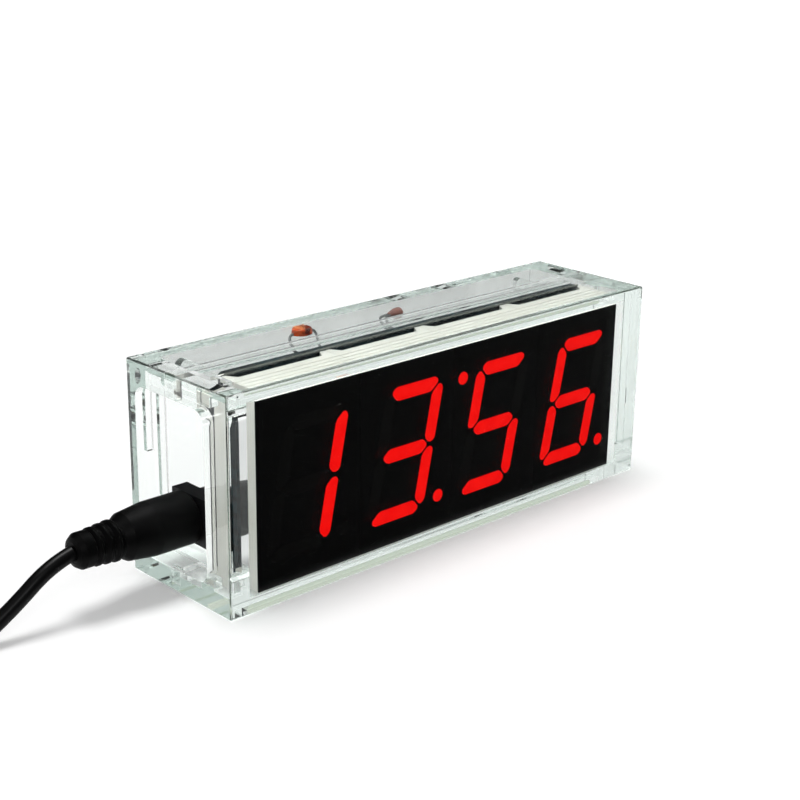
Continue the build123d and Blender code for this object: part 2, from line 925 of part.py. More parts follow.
def make_cable_coil():
    """The outer shape of the put-away turns: a ring as wide and tall as its layers."""
    half_width = coil_columns * cable_radius
    height = 2 * coil_layers * cable_radius
    with BuildPart() as coil:
        with BuildSketch(Plane.XZ):
            with Locations((coil_middle_radius, height / 2)):
                Rectangle(2 * half_width, height)
        revolve(axis=Axis.Z)
    return coil.part.moved(Location((*coil_centre, 0)))


usb_start = Vector(*tail_route[-1])
usb_heading = (usb_start - Vector(*tail_route[-2])).normalized()
usb_plane = Plane(origin=usb_start, x_dir=usb_heading.cross(Vector(0, 0, 1)), z_dir=usb_heading)


def make_usb_body():
    """The far plug's moulding: a strain relief that swells into a flat grip."""
    with BuildPart() as body:
        with BuildSketch(usb_plane.offset(usb_relief_length - 0.5)) as grip:
            Rectangle(usb_body_width, usb_body_height)
            fillet(grip.vertices(), 2.0)
        extrude(amount=usb_body_length + 0.5)
        chamfer(body.faces().filter_by(usb_plane).edges(), 0.8)
        with BuildSketch(usb_plane):
            Circle(usb_relief_radius - 0.4)
        with BuildSketch(usb_plane.offset(usb_relief_length)):
            Circle(usb_relief_radius + 0.6)
        loft()
    return body.part


def make_usb_shell():
    """The folded metal shell, open at its mouth, with two latch windows on each broad side."""
    base = usb_plane.offset(usb_relief_length + usb_body_length)
    with BuildPart() as shell:
        with BuildSketch(base):
            Rectangle(usb_shell_width, usb_shell_height)
            Rectangle(
                usb_shell_width - 2 * usb_shell_wall,
                usb_shell_height - 2 * usb_shell_wall,
                mode=Mode.SUBTRACT,
            )
        extrude(amount=usb_shell_length)
        with BuildSketch(Plane(origin=base.origin, x_dir=base.x_dir, z_dir=base.y_dir)):
            with Locations((-2.6, -6.6), (2.6, -6.6)):
                Rectangle(2.2, 2.2)
        extrude(amount=usb_shell_height, both=True, mode=Mode.SUBTRACT)
    return shell.part


def make_usb_tongue():
    """The insulating tongue inside the shell."""
    base = usb_plane.offset(usb_relief_length + usb_body_length)
    inner_width = usb_shell_width - 2 * usb_shell_wall
    inner_height = usb_shell_height - 2 * usb_shell_wall
    with BuildPart() as tongue:
        with BuildSketch(base):
            with Locations((0, (usb_tongue_height - inner_height) / 2)):
                Rectangle(inner_width, usb_tongue_height)
        extrude(amount=usb_tongue_length)
        with BuildSketch(base):
            Rectangle(inner_width, inner_height)
        extrude(amount=1.5)
    return tongue.part


def make_usb_contacts():
    """Four flat contacts on the tongue; the outer two are longer."""
    base = usb_plane.offset(usb_relief_length + usb_body_length + 1.5)
    top = usb_tongue_height - (usb_shell_height - 2 * usb_shell_wall) / 2
    with BuildPart() as contacts:
        for place, length in ((-3.5, 8.8), (-1.0, 7.8), (1.0, 7.8), (3.5, 8.8)):
            with BuildSketch(base):
                with Locations((place, top + 0.08)):
                    Rectangle(1.1, 0.16)
            extrude(amount=length)
    return contacts.part


# Every piece under its own name

pieces = {
    "front_shell": make_front_shell(),
    "rear_shell": make_rear_shell(),
    "circuit_board": make_circuit_board(),
    "display_pins": make_display_pins(),
    "dc_jack": make_dc_jack(),
    "jack_contacts": make_jack_contacts(),
    "ic_socket": make_ic_socket(),
    "microcontroller": make_dip_body(*chip_place, chip_pins, 3.2, chip_lift),
    "microcontroller_legs": make_dip_legs(*chip_place, chip_pins, chip_lift + 1.3, 1.2),
    "clock_chip": make_dip_body(*rtc_place, rtc_pins, 3.2, rtc_lift),
    "clock_chip_legs": make_dip_legs(*rtc_place, rtc_pins, rtc_lift + 1.3, -lead_reach),
    "main_crystal": make_main_crystal(),
    "watch_crystal": make_watch_crystal(),
    "electrolytic_capacitor": make_electrolytic(),
    "ceramic_capacitors": make_ceramics(),
    "resistors": make_resistors(),
    "resistor_network": make_resistor_network(),
    "transistors": make_transistors(),
    "buzzer": make_buzzer(),
    "coin_cell_holder": make_cell_holder(),
    "coin_cell": make_coin_cell(),
    "component_leads": make_component_leads(),
    "light_sensor": make_light_sensor(),
    "light_sensor_leads": make_light_leads(),
    "heat_sensor": make_heat_sensor(),
    "heat_sensor_leads": make_heat_leads(),
    "plug_body": make_plug_body(),
    "plug_sleeve": make_plug_tube(sleeve_radius, sleeve_radius - sleeve_wall, sleeve_length),
    "plug_core": make_plug_tube(sleeve_radius - sleeve_wall, core_bore_radius, sleeve_length - 0.4),
    "power_cable": make_cable("power_cable", cable_route),
    "cable_coil": make_cable_coil(),
    "cable_tail": make_cable("cable_tail", tail_route),
    "usb_body": make_usb_body(),
    "usb_shell": make_usb_shell(),
    "usb_tongue": make_usb_tongue(),
    "usb_contacts": make_usb_contacts(),
}
for number in range(digit_count):
    pieces[f"digit_body_{number + 1}"] = make_digit_body(number)
    pieces[f"digit_face_{number + 1}"] = make_digit_face(number)
    pieces[f"digit_lit_{number + 1}"] = make_strokes(number, True)
    pieces[f"digit_dark_{number + 1}"] = make_strokes(number, False)
for button, place in button_places.items():
    pieces[f"{button}_button_body"] = make_button_body(*place)
    pieces[f"{button}_button_cover"] = make_button_cover(*place)
    pieces[f"{button}_button"] = make_button(*place)

for label, piece in pieces.items():
    write(piece, label)
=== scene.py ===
import math

import bpy
from mathutils import Matrix, Vector


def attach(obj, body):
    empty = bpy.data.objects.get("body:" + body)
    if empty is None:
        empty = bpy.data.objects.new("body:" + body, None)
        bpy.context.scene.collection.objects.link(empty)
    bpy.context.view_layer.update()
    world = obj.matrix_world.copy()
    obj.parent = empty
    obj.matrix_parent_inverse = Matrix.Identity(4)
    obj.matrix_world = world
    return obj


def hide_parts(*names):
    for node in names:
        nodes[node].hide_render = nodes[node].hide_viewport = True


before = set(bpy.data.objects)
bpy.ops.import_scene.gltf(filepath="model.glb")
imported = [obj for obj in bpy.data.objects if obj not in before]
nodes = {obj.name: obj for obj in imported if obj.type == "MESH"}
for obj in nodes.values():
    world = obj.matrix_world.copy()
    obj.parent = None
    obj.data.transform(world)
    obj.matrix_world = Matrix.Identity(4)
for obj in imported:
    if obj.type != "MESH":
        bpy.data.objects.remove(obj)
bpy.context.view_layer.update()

mm = 0.001

cameraSetup = {
    "place": (-204.6, -213.35, 126.35),  # mm
    "yaw": 43.61,  # degrees to the right of +Y
    "pitch": 18.98,  # degrees down
    "roll": 0.88,
    "lens": 70.83,
    "sensor": 36,
    "nearest": 0.01,  # m
}


def addCamera(setup):
    yaw, pitch, roll = (math.radians(setup[name]) for name in ("yaw", "pitch", "roll"))
    ahead = math.cos(pitch)
    forward = Vector((math.sin(yaw) * ahead, math.cos(yaw) * ahead, -math.sin(pitch)))
    level = Vector((math.cos(yaw), -math.sin(yaw), 0))
    above = level.cross(forward)
    right = level * math.cos(roll) + above * math.sin(roll)
    up = above * math.cos(roll) - level * math.sin(roll)
    data = bpy.data.cameras.new("camera")
    data.lens = setup["lens"]
    data.sensor_width = setup["sensor"]
    data.clip_start = setup["nearest"]
    camera = bpy.data.objects.new("camera", data)
    bpy.context.collection.objects.link(camera)
    turn = Matrix((right, up, -forward)).transposed()
    camera.matrix_world = Matrix.Translation(Vector(setup["place"]) * mm) @ turn.to_4x4()
    bpy.context.scene.camera = camera


addCamera(cameraSetup)
print("camera placed")


def newMaterial(name):
    material = bpy.data.materials.new(name)
    material.use_nodes = True
    tree = material.node_tree
    shader = tree.nodes["Principled BSDF"]
    return material, tree, shader


def node(tree, kind, inputs=None, **settings):
    made = tree.nodes.new(kind)
    for key, value in settings.items():
        setattr(made, key, value)
    for key, value in (inputs or {}).items():
        if isinstance(value, bpy.types.NodeSocket):
            tree.links.new(value, made.inputs[key])
        else:
            made.inputs[key].default_value = value
    return made


def objectCoords(tree, scale=(1, 1, 1), turn=(0, 0, 0)):
    coords = node(tree, "ShaderNodeTexCoord")
    inputs = {"Vector": coords.outputs["Object"], "Scale": scale, "Rotation": turn}
    return node(tree, "ShaderNodeMapping", inputs).outputs["Vector"]


def noise(tree, vector, scale, detail=3.0, rough=0.5):
    inputs = {"Vector": vector, "Scale": scale, "Detail": detail, "Roughness": rough}
    return node(tree, "ShaderNodeTexNoise", inputs).outputs["Fac"]


def ramp(tree, value, stops, between="LINEAR"):
    made = node(tree, "ShaderNodeValToRGB", {"Fac": value})
    made.color_ramp.interpolation = between
    edges = made.color_ramp.elements
    while len(edges) < len(stops):
        edges.new(0.5)
    for edge, (place, colour) in zip(edges, stops):
        edge.position = place
        edge.color = (*colour, 1)
    return made.outputs["Color"]


def spread(tree, value, low, high):
    return rangeOf(tree, value, 0.0, 1.0, low, high)


def rangeOf(tree, value, low, high, atLow, atHigh):
    inputs = {"Value": value, "From Min": low, "From Max": high, "To Min": atLow, "To Max": atHigh}
    return node(tree, "ShaderNodeMapRange", inputs).outputs["Result"]


def maths(tree, operation, first, second=0.0, third=0.5):
    made = node(tree, "ShaderNodeMath", {0: first, 1: second, 2: third}, operation=operation)
    return made.outputs["Value"]


def outsideHeights(tree, coords, heights):
    # 1 below the first height or above the second, in mm, and 0 between them
    place = node(tree, "ShaderNodeSeparateXYZ", {0: coords}).outputs["Z"]
    below = maths(tree, "LESS_THAN", place, heights[0] * mm)
    return maths(tree, "MAXIMUM", below, maths(tree, "GREATER_THAN", place, heights[1] * mm))


def blend(tree, share, first, second):
    colours = {"A": first, "B": second}
    for key, value in colours.items():
        if isinstance(value, tuple):
            colours[key] = (*value, 1)
    made = node(tree, "ShaderNodeMix", {"Factor": share, **colours}, data_type="RGBA")
    return made.outputs["Result"]


def bump(tree, shader, height, distance, strength=1.0):
    made = node(tree, "ShaderNodeBump", {"Height": height, "Distance": distance, "Strength": strength})
    tree.links.new(made.outputs["Normal"], shader.inputs["Normal"])


def mouldedPlastic(
    name,
    colour,
    darker,
    rough=(0.35, 0.5),
    grain=1400,
    lift=0.00001,
    coat=0.0,
    gloss=0.5,
    patches=90,
    steps=(0.3, 0.7),
):
    material, tree, shader = newMaterial(name)
    coords = objectCoords(tree)
    cloud = noise(tree, coords, patches, 4)
    fine = noise(tree, coords, grain, 2)
    tone = ramp(tree, cloud, [(steps[0], darker), (steps[1], colour)])
    tree.links.new(tone, shader.inputs["Base Color"])
    tree.links.new(spread(tree, cloud, rough[1], rough[0]), shader.inputs["Roughness"])
    shader.inputs["Specular IOR Level"].default_value = gloss
    shader.inputs["Coat Weight"].default_value = coat
    shader.inputs["Coat Roughness"].default_value = 0.12
    bump(tree, shader, fine, lift, 0.6)
    return material


def brightMetal(name, colour, darker, rough=(0.18, 0.35), scratch=(60, 60, 900)):
    material, tree, shader = newMaterial(name)
    streaks = noise(tree, objectCoords(tree, scratch), 1.0, 3)
    cloud = noise(tree, objectCoords(tree), 260, 3)
    tree.links.new(ramp(tree, cloud, [(0.3, darker), (0.65, colour)]), shader.inputs["Base Color"])
    shader.inputs["Metallic"].default_value = 1.0
    tree.links.new(spread(tree, streaks, *rough), shader.inputs["Roughness"])
    bump(tree, shader, streaks, 0.000008, 0.5)
    return material


def dress(material, *names):
    for name in names:
        mesh = nodes[name].data
        mesh.materials.clear()
        mesh.materials.append(material)


def clearSelection():
    bpy.ops.object.select_all(action="DESELECT")


def choose(piece):
    clearSelection()
    piece.select_set(True)
    bpy.context.view_layer.objects.active = piece


def settle(piece):
    choose(piece)
    bpy.ops.object.transform_apply(location=True, rotation=True, scale=True)


def softened(piece, width, segments=2):
    modifier = piece.modifiers.new("edges", "BEVEL")
    modifier.width = width * mm
    modifier.segments = segments
    modifier.limit_method = "ANGLE"
    choose(piece)
    bpy.ops.object.modifier_apply(modifier=modifier.name)
    return piece


def block(low, high, bevel):
    clearSelection()
    bpy.ops.mesh.primitive_cube_add(size=1, location=[(a + b) / 2 * mm for a, b in zip(low, high)])
    piece = bpy.context.object
    piece.scale = [(b - a) * mm for a, b in zip(low, high)]
    settle(piece)
    return softened(piece, bevel)


def stud(foot, radius, height, tip=None, turn=(-90, 0, 0), bevel=0.1, sides=24):
    # stands on its foot and points to +Y unless turned otherwise
    clearSelection()
    bpy.ops.mesh.primitive_cone_add(
        vertices=sides,
        radius1=radius * mm,
        radius2=(radius if tip is None else tip) * mm,
        depth=height * mm,
        location=(0, 0, height / 2 * mm),
    )
    piece = bpy.context.object
    settle(piece)
    piece.rotation_euler = [math.radians(angle) for angle in turn]
    piece.location = [c * mm for c in foot]
    settle(piece)
    return softened(piece, bevel)


def roundCurve(points, diameter, name, around, along):
    data = bpy.data.curves.new(name, "CURVE")
    data.dimensions = "3D"
    data.bevel_depth = diameter / 2 * mm
    data.bevel_resolution = around
    data.use_fill_caps = True
    spline = data.splines.new("NURBS")
    spline.points.add(len(points) - 1)
    for made, point in zip(spline.points, points):
        made.co = (*[c * mm for c in point], 1)
    spline.order_u = 3
    spline.use_endpoint_u = True
    spline.resolution_u = along
    piece = bpy.data.objects.new(name, data)
    bpy.context.collection.objects.link(piece)
    return piece


def wire(points, diameter, name):
    choose(roundCurve(points, diameter, name, around=3, along=6))
    bpy.ops.object.convert(target="MESH")
    return bpy.context.object


def finishPiece(parts, name, material, body, replaced=()):
    choose(parts[0])
    for part in parts:
        part.select_set(True)
    if len(parts) > 1:
        bpy.ops.object.join()
    piece = bpy.context.object
    piece.name = name
    piece.data.name = name
    piece.data.materials.clear()
    piece.data.materials.append(material)
    bpy.ops.object.shade_smooth_by_angle(angle=math.radians(35))
    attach(piece, body)
    if replaced:
        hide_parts(*replaced)
    return piece


caseFinish = {
    "tint": (0.965, 0.985, 0.975),
    "rough": (0.004, 0.045),
    "refraction": 1.56,
    "throughTint": (0.70, 0.775, 0.745),
    "throughDensity": 19.0,  # per metre
    "shadowClear": (0.8, 0.82, 0.81),
    "smears": 55,
    "scuffs": (30, 300, 300),
    "waves": 38,
}


def clearPlastic(finish):
    material, tree, shader = newMaterial("clearPlastic")
    coords = objectCoords(tree)
    smear = maths(tree, "MULTIPLY", noise(tree, coords, finish["smears"], 4, 0.6), 0.35)
    scuffs = noise(tree, objectCoords(tree, finish["scuffs"], (0.3, 0.2, 0.5)), 6, 5, 0.7)
    marks = ramp(tree, scuffs, [(0.62, (0, 0, 0)), (0.74, (1, 1, 1))])
    worn = maths(tree, "MAXIMUM", smear, marks)
    tree.links.new(spread(tree, worn, *finish["rough"]), shader.inputs["Roughness"])
    shader.inputs["Base Color"].default_value = (*finish["tint"], 1)
    shader.inputs["Transmission Weight"].default_value = 1.0
    shader.inputs["IOR"].default_value = finish["refraction"]
    bump(tree, shader, noise(tree, coords, finish["waves"], 2), 0.000008, 0.3)
    shadow = node(tree, "ShaderNodeLightPath").outputs["Is Shadow Ray"]
    clear = node(tree, "ShaderNodeBsdfTransparent", {"Color": (*finish["shadowClear"], 1)})
    shaders = {"Fac": shadow, 1: shader.outputs[0], 2: clear.outputs[0]}
    mix = node(tree, "ShaderNodeMixShader", shaders)
    absorption = {"Color": (*finish["throughTint"], 1), "Density": finish["throughDensity"]}
    inside = node(tree, "ShaderNodeVolumeAbsorption", absorption)
    output = tree.nodes["Material Output"]
    tree.links.new(mix.outputs[0], output.inputs["Surface"])
    tree.links.new(inside.outputs[0], output.inputs["Volume"])
    return material


dress(clearPlastic(caseFinish), "front_shell", "rear_shell")
print("case dressed")

moduleFinish = {
    "cream": (0.88, 0.87, 0.82),
    "creamShade": (0.82, 0.80, 0.73),
    "face": (0.0004, 0.0004, 0.0005),
    "faceEdge": (0.8, 0.79, 0.74),  # the film's cut edges, above and below
    "faceRange": (2.8, 38.7),  # mm, where those edges begin
    "faceRough": (0.22, 0.34),
    "faceGloss": 0.004,
    "litDeep": (0.92, 0.0005, 0.0004),
    "litBright": (1.0, 0.004, 0.002),
    "litStrength": 1.0,
    "litBase": (0.08, 0.0005, 0.0004),
    "litGloss": 0.03,
    "dark": (0.0013, 0.0009, 0.0009),
    "darker": (0.0009, 0.0008, 0.0008),
}


def litStroke(finish):
    material, tree, shader = newMaterial("litStroke")
    coords = objectCoords(tree)
    patch = noise(tree, coords, 330, 2)
    glow = ramp(tree, patch, [(0.35, finish["litDeep"]), (0.65, finish["litBright"])])
    tree.links.new(glow, shader.inputs["Emission Color"])
    shader.inputs["Emission Strength"].default_value = finish["litStrength"]
    shader.inputs["Base Color"].default_value = (*finish["litBase"], 1)
    shader.inputs["Specular IOR Level"].default_value = finish["litGloss"]
    tree.links.new(spread(tree, patch, 0.4, 0.6), shader.inputs["Roughness"])
    bump(tree, shader, noise(tree, coords, 2400, 2), 0.00001, 0.4)
    return material


def blackFace(finish):
    material, tree, shader = newMaterial("blackFace")
    coords = objectCoords(tree)
    cloud = noise(tree, coords, 70, 3)
    lighter = tuple(1.5 * c for c in finish["face"])
    film = ramp(tree, cloud, [(0.3, finish["face"]), (0.7, lighter)])
    outside = outsideHeights(tree, coords, finish["faceRange"])
    tree.links.new(blend(tree, outside, film, finish["faceEdge"]), shader.inputs["Base Color"])
    tree.links.new(spread(tree, cloud, *finish["faceRough"]), shader.inputs["Roughness"])
    shader.inputs["Specular IOR Level"].default_value = finish["faceGloss"]
    bump(tree, shader, noise(tree, coords, 1900, 2), 0.000006, 0.4)
    return material


def onDigits(part):
    return [f"digit_{part}_{number}" for number in (1, 2, 3, 4)]


creamPlastic = mouldedPlastic(
    "creamPlastic",
    moduleFinish["cream"],
    moduleFinish["creamShade"],
    rough=(0.4, 0.55),
    grain=900,
    lift=0.00002,
)
unlitStroke = mouldedPlastic(
    "unlitStroke",
    moduleFinish["dark"],
    moduleFinish["darker"],
    rough=(0.3, 0.4),
    grain=1500,
    gloss=0.01,
)
dress(creamPlastic, *onDigits("body"))
dress(blackFace(moduleFinish), *onDigits("face"))
dress(litStroke(moduleFinish), *onDigits("lit"))
dress(unlitStroke, *onDigits("dark"))
print("digits dressed")

boardFinish = {
    "mask": (0.0012, 0.007, 0.010),
    "maskLight": (0.003, 0.016, 0.021),
    "bareEdge": (0.5, 0.52, 0.45),
    "paintedEdgeGlow": (0.36, 0.385, 0.36),  # painted light: a glow standing in for the light that the clear walls lead to those edges
    "topEdge": 39.72,  # mm, the upper edge itself is dark again
    "unmirroredGlowShare": 0.02,  # how much of the bare colour and painted glow the strip under it shows where no wall mirrors it
    "maskRange": (2.55, 38.97),  # mm, outside it the glass fibre is bare
    "trackPitch": 390,
    "gloss": 0.02,
}


def solderMask(finish):
    material, tree, shader = newMaterial("solderMask")
    coords = objectCoords(tree)
    rows = node(
        tree,
        "ShaderNodeTexBrick",
        {
            "Vector": objectCoords(tree, (1, 1, 1), (math.radians(90), 0, 0)),
            "Scale": finish["trackPitch"],
            "Mortar Size": 0.09,
            "Mortar Smooth": 0.2,
            "Brick Width": 3.7,
            "Row Height": 0.62,
            "Color1": (0, 0, 0, 1),
            "Color2": (0, 0, 0, 1),
            "Mortar": (1, 1, 1, 1),
        },
    ).outputs["Color"]
    gate = ramp(tree, noise(tree, coords, 120, 2), [(0.46, (0, 0, 0)), (0.5, (1, 1, 1))])
    tracks = maths(tree, "MULTIPLY", rows, gate)
    tone = ramp(tree, tracks, [(0.2, finish["mask"]), (0.8, finish["maskLight"])])
    foot, top = finish["maskRange"]
    below = outsideHeights(tree, coords, (foot, finish["topEdge"] + 1))
    above = outsideHeights(tree, coords, (0, top))
    above = maths(tree, "SUBTRACT", above, outsideHeights(tree, coords, (0, finish["topEdge"])))
    # painted reflection: the strip under the top edge shows its bare colour and painted glow only in
    # rays that a wall has mirrored, and stays dark seen straight
    mirrors = node(tree, "ShaderNodeLightPath").outputs["Glossy Depth"]
    seenInMirror = maths(tree, "GREATER_THAN", mirrors, 0.5)
    above = maths(tree, "MULTIPLY", above, spread(tree, seenInMirror, finish["unmirroredGlowShare"], 1.0))
    bareAndGlowing = maths(tree, "MAXIMUM", below, above)
    tree.links.new(blend(tree, bareAndGlowing, tone, finish["bareEdge"]), shader.inputs["Base Color"])
    # painted light: the bare strips glow with that colour, though the board is no lamp
    tree.links.new(blend(tree, bareAndGlowing, (0, 0, 0), finish["paintedEdgeGlow"]), shader.inputs["Emission Color"])
    shader.inputs["Emission Strength"].default_value = 1.0
    tree.links.new(spread(tree, noise(tree, coords, 200, 3), 0.25, 0.4), shader.inputs["Roughness"])
    shader.inputs["Specular IOR Level"].default_value = finish["gloss"]
    bump(tree, shader, tracks, 0.00003, 0.6)
    return material


tinned = brightMetal("tinned", (0.78, 0.78, 0.76), (0.55, 0.55, 0.53), (0.22, 0.4))
canMetal = brightMetal("canMetal", (0.8, 0.8, 0.81), (0.62, 0.62, 0.63), (0.2, 0.34), (500, 60, 60))
dress(solderMask(boardFinish), "circuit_board")
dress(
    tinned,
    "display_pins",
    "jack_contacts",
    "microcontroller_legs",
    "clock_chip_legs",
    "component_leads",
    "light_sensor_leads",
    "heat_sensor_leads",
)
dress(canMetal, "main_crystal", "watch_crystal", "coin_cell", "set_button_cover", "adjust_button_cover")
packageBlack = mouldedPlastic(
    "packageBlack",
    (0.013, 0.013, 0.014),
    (0.008, 0.008, 0.0085),
    rough=(0.45, 0.6),
    grain=2600,
    lift=0.00002,
    gloss=0.3,
)
satinBlack = mouldedPlastic(
    "satinBlack",
    (0.009, 0.009, 0.0095),
    (0.005, 0.005, 0.0055),
    rough=(0.3, 0.42),
    grain=1500,
    gloss=0.2,
)
dress(packageBlack, "microcontroller", "clock_chip", "transistors")
dress(
    satinBlack,
    "dc_jack",
    "ic_socket",
    "buzzer",
    "coin_cell_holder",
    "set_button_body",
    "adjust_button_body",
    "set_button",
    "adjust_button",
    "plug_core",
)
dippedCeramic = mouldedPlastic(
    "dippedCeramic",
    (0.66, 0.30, 0.07),
    (0.5, 0.2, 0.04),
    rough=(0.3, 0.45),
    grain=700,
    lift=0.00003,
    coat=0.3,
)
networkCoat = mouldedPlastic(
    "networkCoat",
    (0.55, 0.35, 0.05),
    (0.42, 0.25, 0.03),
    rough=(0.3, 0.42),
    grain=500,
    lift=0.00003,
    coat=0.4,
)
canSleeve = mouldedPlastic(
    "canSleeve",
    (0.012, 0.02, 0.06),
    (0.008, 0.014, 0.045),
    rough=(0.22, 0.35),
    grain=400,
)
beadEpoxy = mouldedPlastic(
    "beadEpoxy",
    (0.36, 0.14, 0.11),
    (0.16, 0.05, 0.045),
    rough=(0.2, 0.35),
    grain=600,
    lift=0.00003,
    gloss=0.15,
)
dress(dippedCeramic, "ceramic_capacitors")
dress(networkCoat, "resistor_network")
dress(canSleeve, "electrolytic_capacitor")
dress(beadEpoxy, "heat_sensor")

resistorFinish = {
    "firstColumn": -31.2,  # mm
    "columnPitch": 11.0,
    "lacquer": (0.16, 0.36, 0.48),
    "bands": [  # mm from the body's middle, and colour
        (-2.3, (0.10, 0.03, 0.01)),
        (-1.2, (0.01, 0.01, 0.01)),
        (-0.1, (0.45, 0.02, 0.01)),
        (2.2, (0.10, 0.03, 0.01)),
    ],
    "bandWidth": 0.55,
    "bodyLength": 6.2,
}


def bandedLacquer(finish):
    # along each body a share runs from 0 to 1, and the bands are steps in it
    material, tree, shader = newMaterial("bandedLacquer")
    coords = objectCoords(tree)
    along = node(tree, "ShaderNodeSeparateXYZ", {0: coords}).outputs["X"]
    start = (finish["firstColumn"] - finish["columnPitch"] / 2) * mm
    own = maths(tree, "MODULO", maths(tree, "SUBTRACT", along, start), finish["columnPitch"] * mm)
    length = finish["bodyLength"]
    low = (finish["columnPitch"] - length) / 2 * mm
    share = rangeOf(tree, own, low, low + length * mm, 0.0, 1.0)
    stops = [(0.0, finish["lacquer"])]
    for middle, colour in finish["bands"]:
        left = (middle - finish["bandWidth"] / 2 + length / 2) / length
        stops.append((left, colour))
        stops.append((left + finish["bandWidth"] / length, finish["lacquer"]))
    paint = ramp(tree, share, stops, between="CONSTANT")
    cloud = noise(tree, coords, 600, 3)
    shade = node(tree, "ShaderNodeHueSaturation", {"Color": paint})
    tree.links.new(spread(tree, cloud, 0.8, 1.1), shade.inputs["Value"])
    tree.links.new(shade.outputs["Color"], shader.inputs["Base Color"])
    tree.links.new(spread(tree, cloud, 0.25, 0.4), shader.inputs["Roughness"])
    bump(tree, shader, noise(tree, coords, 800, 2), 0.00002, 0.5)
    return material


resistorEnds = {
    "columns": (-31.2, -20.2),
    "firstRow": 18.6,
    "rowPitch": 2.6,
    "rows": 4,
    "axis": -0.6,  # mm, the bodies' height in Y
    "reach": 2.4,
    "radius": 1.32,
    "length": 1.1,
    "bevel": 0.35,
}


def addResistorEnds(setup, material):
    ends = []
    length = setup["length"]
    for column in setup["columns"]:
        for row in range(setup["rows"]):
            z = setup["firstRow"] + setup["rowPitch"] * row
            for side in (-1, 1):
                foot = (column + side * setup["reach"] - length / 2, setup["axis"], z)
                end = stud(foot, setup["radius"], length, turn=(0, 90, 0), bevel=setup["bevel"])
                ends.append(end)
    finishPiece(ends, "resistorEnds", material, "clock")


bandedPaint = bandedLacquer(resistorFinish)
dress(bandedPaint, "resistors")
addResistorEnds(resistorEnds, bandedPaint)

lightSensorSetup = {
    "centre": (-17.9, 10.3),
    "base": 37.6,
    "radii": (2.25, 1.85),
    "height": 1.25,
    "taper": 0.9,  # the upper rim's width against the foot's
    "trackHeight": 0.16,
    "trackRows": (-1.05, -0.35, 0.35, 1.05),
    "trackWidth": 0.3,
    "trackReach": 0.72,  # of the disc's half width at that row
    "trackSink": 0.05,
    "legDiameter": 0.55,
    "legPath": [  # mm from the disc's foot: to the side, in Y and in Z
        (1.3, 0, 0.35),
        (2.6, 0, 0.45),
        (3.35, -0.2, -0.3),
        (3.3, -0.8, -1.6),
        (2.7, -3.0, -2.4),
    ],
    "legTurn": 1.0,  # mm, the Y at which the leg runs level to the board
    "legEnd": (2.5, -3.85, 34.8),  # mm: side reach, Y and Z where it leaves the board's front
}


def addLightSensor(setup):
    x, y = setup["centre"]
    height, taper = setup["height"], setup["taper"]
    body = stud((0, 0, 0), 1.0, height, tip=taper, turn=(0, 0, 0), bevel=0.12, sides=40)
    body.scale = (*setup["radii"], 1)
    body.location = (x * mm, y * mm, setup["base"] * mm)
    settle(body)
    # painted shade: the disc's body is darker than its top, so that its sides look shaded; its patches
    # are random tone
    ceramic = mouldedPlastic(
        "shadedCellCeramic",
        (0.72, 0.09, 0.015),
        (0.10, 0.009, 0.005),
        rough=(0.3, 0.45),
        grain=900,
        lift=0.00003,
        gloss=0.1,
        patches=480,
        steps=(0.44, 0.56),
    )
    finishPiece([body], "lightCell", ceramic, "clock", ["light_sensor"])
    top = setup["base"] + height
    half = setup["trackWidth"] / 2
    rows = []
    for row in setup["trackRows"]:
        reach = setup["trackReach"] * setup["radii"][0] * math.sqrt(1 - (row / setup["radii"][1]) ** 2)
        low = (x - reach, y + row - half, top - setup["trackSink"])
        high = (x + reach, y + row + half, top + setup["trackHeight"])
        rows.append(block(low, high, 0.04))
    # partly painted light: the track rows are the sensor's own pattern, and are made lighter than the
    # body as light on the disc's top
    track = mouldedPlastic(
        "litCellTrack",
        (1.0, 0.36, 0.14),
        (0.30, 0.03, 0.01),
        rough=(0.3, 0.5),
        grain=1200,
        lift=0.00002,
        gloss=0.1,
        patches=480,
        steps=(0.42, 0.54),
    )
    finishPiece(rows, "lightCellTrack", track, "clock")


def addLightLegs(setup, material):
    x, y = setup["centre"]
    reach, endY, endZ = setup["legEnd"]
    legs = []
    for side in (-1, 1):
        path = [(x + side * a, y + b, setup["base"] + c) for a, b, c in setup["legPath"]]
        path += [(x + side * reach, setup["legTurn"], endZ), (x + side * reach, endY, endZ)]
        legs.append(wire(path, setup["legDiameter"], "lightLeg"))
    finishPiece(legs, "lightLegs", material, "clock", ["light_sensor_leads"])


heatLegSetup = {
    "bead": (5.85, 8.75, 37.75),
    "reaches": ((-1, 3.4), (1, 4.4)),  # side, and mm from the bead to the bend
    "apart": 0.32,
    "start": 1.6,
    "bend": 0.3,
    "drop": 1.5,
    "diameter": 0.5,
    "boardFront": -3.85,
}


def addHeatLegs(setup, material):
    x, y, z = setup["bead"]
    start, bend = setup["start"], setup["bend"]
    low = z - setup["drop"]
    legs = []
    for side, reach in setup["reaches"]:
        left = x - reach
        aside = y + side * setup["apart"]
        path = [
            (x - start, aside, z),
            (left + bend, aside, z),
            (left, aside, z - bend),
            (left, aside - bend, low + bend),
            (left, aside - start, low),
            (left, setup["boardFront"], low),
        ]
        legs.append(wire(path, setup["diameter"], "heatLeg"))
    finishPiece(legs, "heatLegs", material, "clock", ["heat_sensor_leads"])


# painted shade: the sensor legs get a darker copy of the tinned metal, standing in for the shade they
# sit in
shadedLegMetal = brightMetal("shadedLegMetal", (0.32, 0.33, 0.33), (0.05, 0.06, 0.06), (0.25, 0.4))
addLightSensor(lightSensorSetup)
addLightLegs(lightSensorSetup, shadedLegMetal)
addHeatLegs(heatLegSetup, shadedLegMetal)

